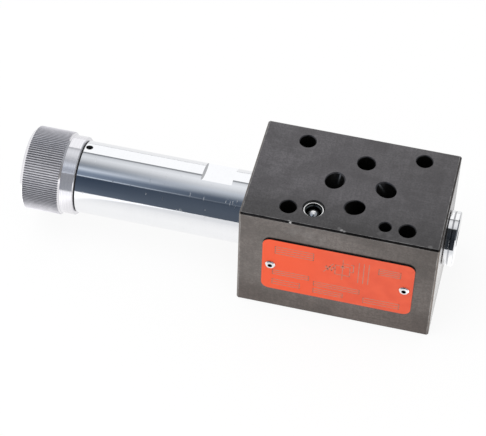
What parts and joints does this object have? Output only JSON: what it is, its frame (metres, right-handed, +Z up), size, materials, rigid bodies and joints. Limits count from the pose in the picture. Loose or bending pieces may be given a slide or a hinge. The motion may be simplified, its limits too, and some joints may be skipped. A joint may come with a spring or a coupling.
{
  "type": "hydraulic sandwich valve",
  "caption": "Sandwich-plate pressure reducing valve: drilled steel block with a port pattern, long plated adjuster sleeve and knurled hand knob.",
  "frame": {"origin": "centre of the port pattern on the bottom mounting face", "axes": "+X along the valve's axis towards the gauge port, +Y to the back, +Z up, out of the upper mounting face"},
  "size_m": [0.1517, 0.0459, 0.0448],
  "materials": {
    "block_steel": "machined and dark phosphated",
    "plated_steel": "smooth turned, bright zinc plated",
    "knob_steel": "straight knurl, bright zinc plated",
    "spool_steel": "hardened and ground",
    "spring_steel": "oiled spring wire",
    "ball_steel": "polished",
    "expander_steel": "turned",
    "rivet_steel": "bright",
    "pin_steel": "plain",
    "nameplate_lacquer": "orange-red face, black edge",
    "seal_rubber": "black nitrile rubber",
    "backup_plastic": "white fluoroplastic"
  },
  "bodies": {
    "housing": {"valve_body": "block_steel", "port_o_rings": "seal_rubber", "nameplate": "nameplate_lacquer", "nameplate_rivets": "rivet_steel", "expander_sleeve": "expander_steel", "expander_ball": "ball_steel", "gauge_port_plug": "plated_steel", "gauge_port_washer": "plated_steel", "gauge_port_seal_lip": "seal_rubber", "adjuster_sleeve": "plated_steel", "sleeve_o_ring": "seal_rubber", "knob_retaining_pin": "pin_steel", "main_spring": "spring_steel"},
    "knob": {"knob": "knob_steel", "drive_spindle": "spool_steel", "knob_o_ring": "seal_rubber", "knob_backup_ring": "backup_plastic"},
    "plunger": {"adjusting_plunger": "spool_steel"},
    "thrust_plate": {"adjuster_spring_plate": "spool_steel", "thrust_ball": "ball_steel"},
    "spool": {"spool": "spool_steel", "damping_orifice": "spool_steel", "spool_spring_plate": "spool_steel"}
  },
  "joints": [
    {"name": "knob_turn", "type": "hinge", "parent": "housing", "child": "knob", "pos_m": [-0.0977, 0, 0.0224], "axis": [1, 0, 0], "range_deg": [0, 1440.1]},
    {"name": "plunger_feed", "type": "slide", "parent": "knob", "child": "plunger", "axis": [1, 0, 0], "range_m": [0, 0.006]},
    {"name": "thrust_plate_slide", "type": "slide", "parent": "housing", "child": "thrust_plate", "axis": [1, 0, 0], "range_m": [0, 0.006], "deforming": ["main_spring"]},
    {"name": "spool_slide", "type": "slide", "parent": "housing", "child": "spool", "axis": [1, 0, 0], "range_m": [-0.0035, 0], "stiffness_N_per_m": 12000, "springref_m": 0.001, "deforming": ["main_spring"]}
  ],
  "couplings": [
    {"joint": "knob_turn", "follows": "plunger_feed", "rad_per_m": 4188.8},
    {"joint": "thrust_plate_slide", "follows": "plunger_feed", "ratio": 1}
  ]
}
